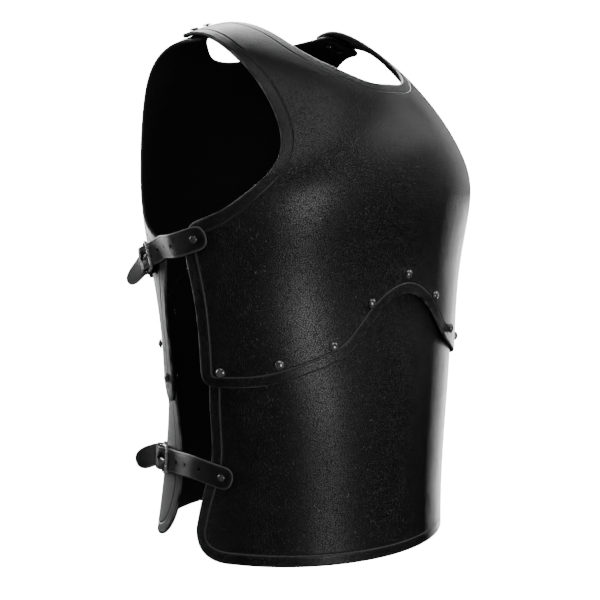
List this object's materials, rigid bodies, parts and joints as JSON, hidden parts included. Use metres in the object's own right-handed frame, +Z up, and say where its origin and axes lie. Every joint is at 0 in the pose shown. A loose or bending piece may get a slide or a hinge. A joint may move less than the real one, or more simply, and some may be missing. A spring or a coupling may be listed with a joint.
{
  "type": "leather breastplate",
  "caption": "Black leather breastplate: riveted front and back plates, open at neck, arms and sides, joined over the shoulders and by buckled side straps.",
  "frame": {"origin": "on the floor, midway between the two hems and on the mirror plane", "axes": "+Z up, the front faces -Y, the wearer's left is +X"},
  "size_m": [0.405, 0.2767, 0.5001],
  "materials": {
    "plate_leather": "satin black, hand rubbed",
    "strap_leather": "satin black",
    "tab_leather": "satin black",
    "rivet_metal": "blackened, semi-gloss",
    "buckle_metal": "blackened wire"
  },
  "bodies": {
    "back": {"back_upper_plate": "plate_leather", "back_lower_plate": "plate_leather", "back_waist_rivets": "rivet_metal", "right_shoulder_rivets": "rivet_metal", "left_shoulder_rivets": "rivet_metal", "right_upper_buckle_tab": "tab_leather", "right_upper_tab_rivets": "rivet_metal", "right_lower_buckle_tab": "tab_leather", "right_lower_tab_rivets": "rivet_metal", "left_upper_buckle_tab": "tab_leather", "left_upper_tab_rivets": "rivet_metal", "left_lower_buckle_tab": "tab_leather", "left_lower_tab_rivets": "rivet_metal"},
    "front": {"front_chest_plate": "plate_leather", "front_belly_plate": "plate_leather", "front_waist_rivets": "rivet_metal", "right_upper_strap": "strap_leather", "right_upper_strap_rivet": "rivet_metal", "right_lower_strap": "strap_leather", "right_lower_strap_rivet": "rivet_metal", "left_upper_strap": "strap_leather", "left_upper_strap_rivet": "rivet_metal", "left_lower_strap": "strap_leather", "left_lower_strap_rivet": "rivet_metal"},
    "right_upper_buckle": {"right_upper_buckle_frame": "buckle_metal"},
    "right_upper_prong": {"right_upper_buckle_prong": "buckle_metal"},
    "right_upper_keeper": {"right_upper_keeper": "tab_leather"},
    "right_lower_buckle": {"right_lower_buckle_frame": "buckle_metal"},
    "right_lower_prong": {"right_lower_buckle_prong": "buckle_metal"},
    "right_lower_keeper": {"right_lower_keeper": "tab_leather"},
    "left_upper_buckle": {"left_upper_buckle_frame": "buckle_metal"},
    "left_upper_prong": {"left_upper_buckle_prong": "buckle_metal"},
    "left_upper_keeper": {"left_upper_keeper": "tab_leather"},
    "left_lower_buckle": {"left_lower_buckle_frame": "buckle_metal"},
    "left_lower_prong": {"left_lower_buckle_prong": "buckle_metal"},
    "left_lower_keeper": {"left_lower_keeper": "tab_leather"}
  },
  "joints": [
    {"name": "front_swing", "type": "hinge", "parent": "back", "child": "front", "pos_m": [0, 0.05188, 0.48801], "axis": [1, 0, 0], "range_deg": [-1, 2], "deforming": ["right_upper_strap", "right_lower_strap", "left_upper_strap", "left_lower_strap"]},
    {"name": "right_upper_buckle_hinge", "type": "hinge", "parent": "back", "child": "right_upper_buckle", "pos_m": [-0.15806, 0.0616, 0.27467], "axis": [-0.0195, -0.3776, -0.9258], "range_deg": [0, 20]},
    {"name": "right_upper_prong_hinge", "type": "hinge", "parent": "right_upper_buckle", "child": "right_upper_prong", "pos_m": [-0.15806, 0.0616, 0.27467], "axis": [-0.0195, -0.3776, -0.9258], "range_deg": [0, 25]},
    {"name": "right_upper_keeper_slide", "type": "slide", "parent": "back", "child": "right_upper_keeper", "axis": [0.6452, 0.696, -0.3151], "range_m": [0, 0.0025]},
    {"name": "right_lower_buckle_hinge", "type": "hinge", "parent": "back", "child": "right_lower_buckle", "pos_m": [-0.1352, 0.0573, 0.07888], "axis": [-0.0886, -0.0482, -0.9949], "range_deg": [0, 20]},
    {"name": "right_lower_prong_hinge", "type": "hinge", "parent": "right_lower_buckle", "child": "right_lower_prong", "pos_m": [-0.1352, 0.0573, 0.07888], "axis": [-0.0886, -0.0482, -0.9949], "range_deg": [0, 25]},
    {"name": "right_lower_keeper_slide", "type": "slide", "parent": "back", "child": "right_lower_keeper", "axis": [0.6391, 0.7636, -0.0922], "range_m": [0, 0.0025]},
    {"name": "left_upper_buckle_hinge", "type": "hinge", "parent": "back", "child": "left_upper_buckle", "pos_m": [0.15806, 0.0616, 0.27467], "axis": [-0.0195, 0.3776, 0.9258], "range_deg": [0, 20]},
    {"name": "left_upper_prong_hinge", "type": "hinge", "parent": "left_upper_buckle", "child": "left_upper_prong", "pos_m": [0.15806, 0.0616, 0.27467], "axis": [-0.0195, 0.3776, 0.9258], "range_deg": [0, 25]},
    {"name": "left_upper_keeper_slide", "type": "slide", "parent": "back", "child": "left_upper_keeper", "axis": [-0.6452, 0.696, -0.3151], "range_m": [0, 0.0025]},
    {"name": "left_lower_buckle_hinge", "type": "hinge", "parent": "back", "child": "left_lower_buckle", "pos_m": [0.1352, 0.0573, 0.07888], "axis": [-0.0886, 0.0482, 0.9949], "range_deg": [0, 20]},
    {"name": "left_lower_prong_hinge", "type": "hinge", "parent": "left_lower_buckle", "child": "left_lower_prong", "pos_m": [0.1352, 0.0573, 0.07888], "axis": [-0.0886, 0.0482, 0.9949], "range_deg": [0, 25]},
    {"name": "left_lower_keeper_slide", "type": "slide", "parent": "back", "child": "left_lower_keeper", "axis": [-0.6391, 0.7636, -0.0922], "range_m": [0, 0.0025]}
  ]
}
